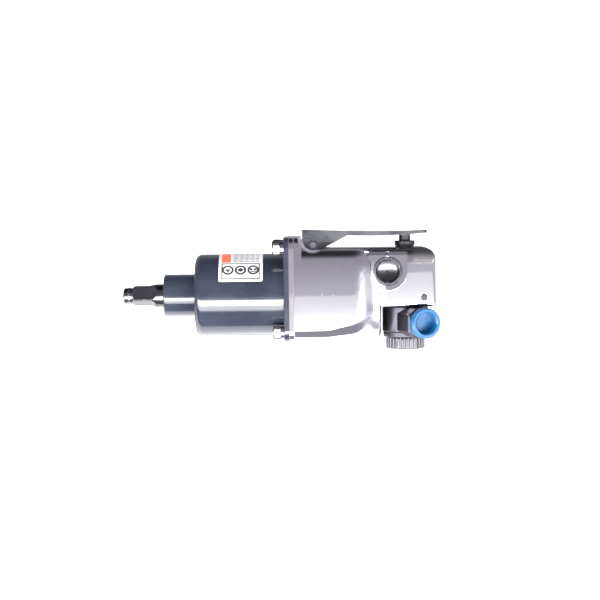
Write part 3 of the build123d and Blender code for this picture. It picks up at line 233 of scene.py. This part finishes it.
M = {
    "dark_steel": metal("dark_steel", (0.20, 0.20, 0.215), 0.20, 0.07, (0.15, 1, 1), 1400, 0.00001, 0.0002, 0.7, (0.55, 0.55, 0.56)),
    "spring_steel": metal("spring_steel", (0.42, 0.42, 0.43), 0.24, 0.06, tint=0.8),
    "bearing_steel": metal("bearing_steel", (0.78, 0.78, 0.80), 0.08, 0.03, depth=0.000004),
    "hardened_steel": metal("hardened_steel", (0.36, 0.35, 0.34), 0.28, 0.08, (1, 0.2, 0.2), 1100, tint=0.75),
    "bronze": metal("bronze", (0.72, 0.47, 0.22), 0.26, 0.06, (1, 0.1, 0.1), 1000, tint=0.8),
    "black_enamel": enamel(),
    "label_film": plastic("label_film", (0.56, 0.56, 0.57), (0.64, 0.64, 0.65), 0.36, 0.000006, 2500, Coat_Weight=0.25),
    "zinc_steel": metal("zinc_steel", (0.50, 0.49, 0.48), 0.20, 0.08, tint=0.72, wear=(0.58, 0.57, 0.56)),
    "gasket_fibre": fibre("gasket_fibre", (0.045, 0.020, 0.018), (0.10, 0.048, 0.040), 0.8, 1800, 0.00003),
    "polished_aluminium": aluminium(),
    "end_plate_iron": metal("end_plate_iron", (0.33, 0.33, 0.34), 0.34, 0.08, (0.3, 1, 1), 1200, tint=0.8),
    "blade_composite": fibre("blade_composite", (0.16, 0.08, 0.04), (0.30, 0.17, 0.09), 0.55, 2400, 0.00002),
    "lever_steel": metal("lever_steel", (0.15, 0.155, 0.165), 0.30, 0.07, (0.08, 1, 1), 1600, 0.00001, 0.0003, 0.78, (0.32, 0.33, 0.34)),
    "knob_steel": metal("knob_steel", (0.13, 0.129, 0.140), 0.30, 0.07, (1, 1, 0.15), 1500, tint=0.75, wear=(0.20, 0.198, 0.21)),
    "valve_brass": metal("valve_brass", (0.74, 0.56, 0.26), 0.22, 0.06, tint=0.82),
    "seal_rubber": plastic("seal_rubber", (0.010, 0.010, 0.010), (0.022, 0.022, 0.022), 0.5, 0.00002),
    "inlet_black": metal("inlet_black", (0.095, 0.095, 0.112), 0.38, 0.07, (1, 1, 0.2), 1300, 0.00001, 0.0003, 0.7, (0.22, 0.22, 0.23)),
    "cap_blue": plastic("cap_blue", (0.0025, 0.068, 0.19), (0.005, 0.095, 0.24), 0.30, 0.00002, 900, Subsurface_Weight=0.12, Subsurface_Scale=0.002, Coat_Weight=0.2),
    "screen_steel": metal("screen_steel", (0.50, 0.50, 0.48), 0.3, 0.06, scale=2500, depth=0.00003),
    "felt": fibre("felt", (0.16, 0.155, 0.15), (0.36, 0.35, 0.33), 0.95, 1500, 0.0002),
}
for part in frame["record"]["subparts"]:
    data = nodes[part["node"]].data
    data.materials.clear()
    data.materials.append(M[part["material_slot"]])


def flat_ink(name, low, high):
    return plastic(name, low, high, 0.38, 0.000006, 2500)


INK = flat_ink("ink_dark", (0.018, 0.018, 0.020), (0.032, 0.032, 0.034))
GREY = flat_ink("ink_grey", (0.20, 0.20, 0.20), (0.30, 0.30, 0.30))
ORANGE = flat_ink("ink_orange", (0.72, 0.11, 0.045), (0.84, 0.17, 0.07))


# ------------------------------------------------------------------ pieces
def piece(name, bm, body, material, smooth=False):
    bmesh.ops.recalc_face_normals(bm, faces=bm.faces)
    mesh = bpy.data.meshes.new(name)
    bm.to_mesh(mesh)
    bm.free()
    for f in mesh.polygons:
        f.use_smooth = smooth
    mesh.materials.append(material)
    o = bpy.data.objects.new(name, mesh)
    scene.collection.objects.link(o)
    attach(o, body)
    return o


LABEL_R = 0.02452
case_body = "housing"


def on_label(bm, outline, lift=0.00003, sink=0.00006):
    """The side walls of a slab with this outline, given as (X in mm, degrees above the near horizontal), wrapped on the
    label; its top and bottom faces are not made.
    """
    def at(p, r):
        a = math.radians(p[1])
        return Vector((p[0] * 0.001, -r * math.cos(a), r * math.sin(a)))

    top = [bm.verts.new(at(p, LABEL_R + lift)) for p in outline]
    low = [bm.verts.new(at(p, LABEL_R - sink)) for p in outline]
    n = len(outline)
    for i in range(n):
        bm.faces.new((top[i], top[(i + 1) % n], low[(i + 1) % n], low[i]))
    return top, low


def bar(bm, x0, x1, a0, a1):
    """A rectangle on the label, divided finely enough round the case to follow it."""
    k = max(1, int(abs(a1 - a0) / 2.5))
    rows = [a0 + (a1 - a0) * i / k for i in range(k + 1)]

    def at(x, a, r):
        a = math.radians(a)
        return bm.verts.new((x * 0.001, -r * math.cos(a), r * math.sin(a)))

    hi, lo = LABEL_R + 0.00003, LABEL_R - 0.00006
    grid = [[at(x, a, r) for x, r in ((x0, hi), (x1, hi), (x1, lo), (x0, lo))] for a in rows]
    for i in range(k):
        for j in range(4):
            bm.faces.new((grid[i][j], grid[i][(j + 1) % 4], grid[i + 1][(j + 1) % 4], grid[i + 1][j]))
    bm.faces.new(grid[0])
    bm.faces.new(grid[-1])


def ring(bm, xc, ac, r_out, r_in, steps=40):
    """A ring mark (or a disc, for r_in 0) on the label, in mm round (X, degrees)."""
    def at(r, i, lift):
        t = 2 * math.pi * i / steps
        rr = LABEL_R + lift
        a = math.radians(ac) + r * 0.001 * math.sin(t) / LABEL_R
        return bm.verts.new(((xc + r * math.cos(t)) * 0.001, -rr * math.cos(a), rr * math.sin(a)))

    r_in = max(r_in, 0.02)
    sets = [[at(r, i, h) for i in range(steps)] for r, h in ((r_out, 0.00003), (r_in, 0.00003), (r_in, -0.00006), (r_out, -0.00006))]
    for j in range(4):
        a, b = sets[j], sets[(j + 1) % 4]
        for i in range(steps):
            k = (i + 1) % steps
            bm.faces.new((a[i], a[k], b[k], b[i]))


X_L, X_R, A_B, A_T = 59.7, 82.2, 24.6, 51.8     # frame round the three marks
DIALS = (63.5, 70.9, 78.3)
bm = bmesh.new()
bar(bm, X_L, X_R, A_B, A_B + 1.6)
bar(bm, X_L, X_R, A_T - 1.6, A_T)
bar(bm, X_L, X_L + 0.65, A_B + 1.6, A_T - 1.6)
bar(bm, X_R - 0.65, X_R, A_B + 1.6, A_T - 1.6)
bar(bm, X_L, X_R, 105.4, 106.6)
for xc in DIALS:
    ring(bm, xc, 39.4, 3.42, 2.2)
bar(bm, DIALS[0] - 1.5, DIALS[0] + 1.5, 38.2, 40.6)
bar(bm, DIALS[0] - 0.5, DIALS[0] + 0.5, 35.4, 38.2)
ring(bm, DIALS[1], 39.4, 1.35, 0.0)
bar(bm, DIALS[1] - 2.3, DIALS[1] + 2.3, 38.7, 40.1)
ring(bm, DIALS[2] - 1.2, 40.2, 0.85, 0.0)
ring(bm, DIALS[2] + 1.2, 40.2, 0.85, 0.0)
bar(bm, DIALS[2] - 1.6, DIALS[2] + 1.6, 35.6, 37.0)
piece("label_frame_marks", bm, case_body, INK)
bm = bmesh.new()
bar(bm, X_L, 65.0, 53.6, 82.0)
piece("label_colour_block", bm, case_body, ORANGE)
bm = bmesh.new()
for i, a in enumerate((54.6, 58.4, 62.2, 66.0, 71.0, 74.8, 78.6, 84.0, 88.0, 92.0, 96.0, 100.0)):
    x = 66.6 if a < 82 else X_L + 0.6
    for j, w in enumerate(((2.9, 2.2, 3.1, 2.4, 1.6), (2.1, 3.2, 2.0, 3.0, 1.8), (3.2, 2.0, 2.6, 2.1, 2.0))[i % 3] + ((2.4, 2.9, 1.8) if a > 82 else ())):
        if x + w < X_R - 0.2:
            bar(bm, x, x + w, a, a + 1.9)
        x += w + 0.75
bar(bm, 76.4, 81.0, 28.0, 29.3)
piece("label_grey_bars", bm, case_body, GREY)

# Knurled sides of the screw heads.
bm = bmesh.new()
teeth = 52
(sx0, sy0, sz0), (sx1, sy1, sz1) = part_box("case_screws")
hr = 0.00425
for cy in (sy0 + hr, sy1 - hr):
    for cz in (sz0 + hr, sz1 - hr):
        loops = []
        for x, r_add in ((sx0 + 0.0007, 0.0), (sx0 + 0.0010, 0.00012), (sx0 + 0.0044, 0.00012), (sx0 + 0.0047, 0.0)):
            loop = []
            for i in range(teeth * 4):
                t = 2 * math.pi * i / (teeth * 4)
                high = (0.0, 0.6, 1.0, 0.6)[i % 4]
                r = hr - 0.00003 + r_add * high
                loop.append(bm.verts.new((x, cy + r * math.cos(t), cz + r * math.sin(t))))
            loops.append(loop)
        inner = []
        for x in (sx0 + 0.0047, sx0 + 0.0007):
            inner.append([bm.verts.new((x, cy + (hr - 0.0002) * math.cos(2 * math.pi * i / (teeth * 4)), cz + (hr - 0.0002) * math.sin(2 * math.pi * i / (teeth * 4)))) for i in range(teeth * 4)])
        loops += inner
        for a, b in zip(loops, loops[1:] + loops[:1]):
            for i in range(teeth * 4):
                k = (i + 1) % (teeth * 4)
                bm.faces.new((a[i], a[k], b[k], b[i]))
piece("screw_head_knurls", bm, case_body, M["zinc_steel"])

# Thread in the inlet port, seen when the cap is off.
phi = math.radians(20)
pd = Vector((math.sin(phi), -math.cos(phi), 0))
side = Vector((math.cos(phi), math.sin(phi), 0))
(kx0, ky0, kz0), (kx1, ky1, kz1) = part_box("regulator_knob")
port_axis = Vector(((kx0 + kx1) / 2, 0.0, -0.0166))
bm = bmesh.new()
pitch, around = 0.00141, 40
turns = 7
rings = []
for i in range(turns * around + 1):
    t = 2 * math.pi * i / around
    fade = min(1.0, i / around, (turns * around - i) / around)
    L = 0.0108 + pitch * i / around
    radial = side * math.cos(t) + Vector((0, 0, 1)) * math.sin(t)
    c = port_axis + pd * L
    rings.append([
        bm.verts.new(c + radial * 0.00572 - pd * 0.0006),
        bm.verts.new(c + radial * (0.00570 - 0.00038 * fade) - pd * 0.00008),
        bm.verts.new(c + radial * (0.00570 - 0.00038 * fade) + pd * 0.00008),
        bm.verts.new(c + radial * 0.00572 + pd * 0.0006),
    ])
for a, b in zip(rings, rings[1:]):
    for j in range(4):
        k = (j + 1) % 4
        bm.faces.new((a[j], a[k], b[k], b[j]))
bm.faces.new(rings[0])
bm.faces.new(rings[-1])
piece("inlet_thread", bm, "swivel", M["inlet_black"], True)


# ------------------------------------------------------------------ studio
def stage_material(name, color, emit):
    g = Graph(name)
    n = g.noise(3.0, 2.0)
    m = g.done(g.mix(g.span(n, 0.0, 1.0), tuple(c * 0.985 for c in color), color), 0.9)
    g.p.inputs["Emission Color"].default_value = (1, 1, 1, 1)
    g.p.inputs["Emission Strength"].default_value = emit
    return m


paper = stage_material("studio_paper", (0.92, 0.92, 0.92), 0.60)


def sheet(name, profile, glossy):
    """Part of the studio paper, from a side profile of (Y, Z) points."""
    bm = bmesh.new()
    rows = [[bm.verts.new((x, y, z)) for y, z in profile] for x in (-4.0, 4.2)]
    for i in range(len(profile) - 1):
        bm.faces.new((rows[0][i], rows[1][i], rows[1][i + 1], rows[0][i + 1]))
    mesh = bpy.data.meshes.new(name)
    bm.to_mesh(mesh)
    bm.free()
    for f in mesh.polygons:
        f.use_smooth = True
    mesh.materials.append(paper)
    o = bpy.data.objects.new(name, mesh)
    scene.collection.objects.link(o)
    o.visible_glossy = glossy


curve = [(0.6 + 0.9 * math.sin(math.pi / 2 * i / 12), -0.30 + 0.9 * (1 - math.cos(math.pi / 2 * i / 12))) for i in range(13)]
sheet("studio_floor_front", [(-5.2, -0.30), (-2.0, -0.30), (-0.31, -0.30)], True)
sheet("studio_floor_under", [(-0.31, -0.30), (0.02, -0.30)], False)
sheet("studio_floor_back", [(0.02, -0.30), (0.6, -0.30)], True)
sheet("studio_wall", curve + [(1.5, 3.2)], False)

# Soft grey studio walls: lighter at the horizon, dark overhead.
world = bpy.data.worlds.new("studio")
scene.world = world
world.use_nodes = True
wt = world.node_tree
sky = wt.nodes.new("ShaderNodeTexCoord")
split = wt.nodes.new("ShaderNodeSeparateXYZ")
wt.links.new(sky.outputs["Generated"], split.inputs[0])
height = wt.nodes.new("ShaderNodeMapRange")
height.inputs["From Min"].default_value = -1.0
height.inputs["From Max"].default_value = 1.0
wt.links.new(split.outputs[2], height.inputs["Value"])
ramp = wt.nodes.new("ShaderNodeValToRGB")
stops = ((0.0, 0.33), (0.4665, 0.33), (0.4705, 0.58), (0.530, 0.37), (0.85, 0.33), (0.935, 0.12), (0.985, 0.03))
while len(ramp.color_ramp.elements) < len(stops):
    ramp.color_ramp.elements.new(0.5)
for e, (at, v) in zip(ramp.color_ramp.elements, stops):
    e.position = at
for e, (at, v) in zip(ramp.color_ramp.elements, stops):
    e.color = (v * 0.97, v * 0.935, v * 1.07, 1)
wt.links.new(height.outputs["Result"], ramp.inputs["Fac"])
wt.links.new(ramp.outputs["Color"], wt.nodes["Background"].inputs["Color"])
wt.nodes["Background"].inputs["Strength"].default_value = 1.0


def softbox(name, at, to, sx, sy, power, glossy=True):
    d = bpy.data.lights.new(name, "AREA")
    d.shape = "RECTANGLE"
    d.size, d.size_y = sx, sy
    d.energy = power
    o = bpy.data.objects.new(name, d)
    scene.collection.objects.link(o)
    o.location = at
    o.rotation_euler = (Vector(to) - Vector(at)).to_track_quat("-Z", "Y").to_euler()
    o.visible_camera = False
    o.visible_glossy = glossy
    return o


centre = Vector((0.1, 0, 0))
softbox("top_fill", (0.1, -0.2, 1.6), centre, 2.2, 1.8, 40, glossy=False)
softbox("front_fill", (0.1, -1.8, 0.7), centre, 1.8, 1.2, 10, glossy=False)
softbox("upper_strip", (0.1, -0.40, -0.145), centre, 1.3, 0.12, 8.5)
softbox("lower_strip", (0.1, -0.335, -0.232), centre, 1.3, 0.09, 2.4)

# ------------------------------------------------------------------ camera
elevation, roll, distance = math.radians(3.5), math.radians(0.70), 0.9
target = Vector((0.1056, 0, -0.0037))
forward = Vector((0, math.cos(elevation), -math.sin(elevation)))
right = Vector((1, 0, 0))
up = right.cross(forward)
right2 = right * math.cos(roll) - up * math.sin(roll)
up2 = up * math.cos(roll) + right * math.sin(roll)
cam_data = bpy.data.cameras.new("camera")
cam_data.lens = 90
cam_data.sensor_width = 36
cam = bpy.data.objects.new("camera", cam_data)
scene.collection.objects.link(cam)
m = Matrix((right2, up2, -forward)).transposed().to_4x4()
m.translation = target - forward * distance
cam.matrix_world = m
scene.camera = cam

# ------------------------------------------------------------------ throttle spring: a coil at one fixed length in place of the CAD spring; it is not made to shorten as the lever is pressed
def coil(cx, z0, z1, radius, wire, turns, steps=36, sides=10):
    bm = bmesh.new()
    rings = []
    count = int(turns * steps)
    for i in range(count + 1):
        a = 2 * math.pi * turns * i / count
        z = z0 + (z1 - z0) * i / count
        out = Vector((math.cos(a), math.sin(a), 0))
        c = Vector((cx, 0, z)) + out * radius
        rings.append([bm.verts.new(c + out * wire * math.cos(t) + Vector((0, 0, wire * math.sin(t)))) for t in (2 * math.pi * k / sides for k in range(sides))])
    for r, q in zip(rings, rings[1:]):
        for k in range(sides):
            bm.faces.new((r[k], r[(k + 1) % sides], q[(k + 1) % sides], q[k]))
    bm.faces.new(rings[0])
    bm.faces.new(rings[-1])
    return bm


lo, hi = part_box("throttle_spring")
WIRE = 0.00032
spring = piece("throttle_spring_coil", coil((lo[0] + hi[0]) / 2, lo[2] + WIRE, hi[2] - WIRE, (hi[1] - lo[1]) / 2 - WIRE, WIRE, 4.4),
               "housing", bpy.data.materials["spring_steel"], smooth=True)
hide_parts("throttle_spring")
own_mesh(spring)
